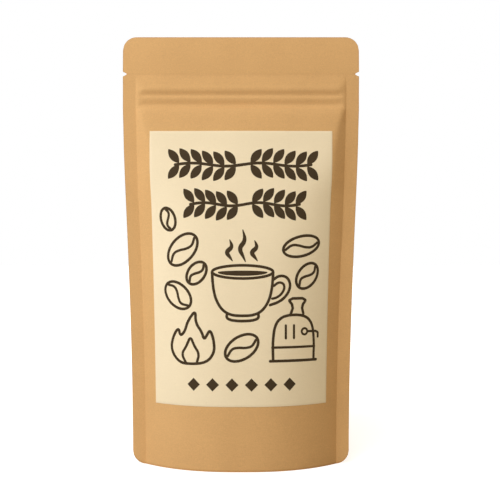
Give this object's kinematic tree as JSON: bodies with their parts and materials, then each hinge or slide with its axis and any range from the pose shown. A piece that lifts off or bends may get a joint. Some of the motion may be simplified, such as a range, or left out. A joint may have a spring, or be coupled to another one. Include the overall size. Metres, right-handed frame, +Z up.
{
  "type": "stand-up pouch",
  "caption": "Filled kraft stand-up coffee pouch with bottom gusset, press-to-close zipper, tear strip, curved paper label and one-way valve.",
  "frame": {"origin": "on the floor under the middle of the pouch, in the plane of the side seals", "axes": "+Z up to the tear strip, -Y out of the labelled front, +X to the right of someone looking at the front"},
  "size_m": [0.13, 0.043, 0.235],
  "materials": {
    "kraft_film": "matte kraft paper face on a heat-seal film",
    "label_paper": "uncoated cream paper with dark brown print",
    "coffee_beans": "roasted beans, satin",
    "zipper_plastic": "natural polyethylene",
    "valve_plastic": "white polyethylene",
    "filter_paper": "thin filter paper",
    "valve_rubber": "soft rubber"
  },
  "bodies": {
    "pouch": {"front_panel": "kraft_film", "back_panel": "kraft_film", "bottom_gusset": "kraft_film", "label": "label_paper", "coffee_fill": "coffee_beans", "valve_body": "valve_plastic", "valve_cap": "valve_plastic", "valve_filter": "filter_paper"},
    "tear_strip": {"front_tear_strip": "kraft_film", "back_tear_strip": "kraft_film"},
    "front_lip": {"front_lip": "kraft_film", "zipper_rib_strip": "zipper_plastic"},
    "back_lip": {"back_lip": "kraft_film", "zipper_groove_strip": "zipper_plastic"},
    "valve_disc": {"valve_disc": "valve_rubber"}
  },
  "joints": [
    {"name": "tear_strip_lift", "type": "slide", "parent": "pouch", "child": "tear_strip", "axis": [0, 0, 1], "range_m": [0, 0.06]},
    {"name": "front_lip_hinge", "type": "hinge", "parent": "pouch", "child": "front_lip", "pos_m": [0, -0.0042, 0.185], "axis": [1, 0, 0], "range_deg": [0, 24]},
    {"name": "back_lip_hinge", "type": "hinge", "parent": "pouch", "child": "back_lip", "pos_m": [0, 0.0042, 0.185], "axis": [-1, 0, 0], "range_deg": [0, 24]},
    {"name": "valve_disc_lift", "type": "slide", "parent": "pouch", "child": "valve_disc", "axis": [0, 0.9822, 0.1877], "range_m": [0, 0.0005], "stiffness_N_per_m": 10}
  ],
  "couplings": [
    {"joint": "back_lip_hinge", "follows": "front_lip_hinge", "ratio": 1}
  ]
}
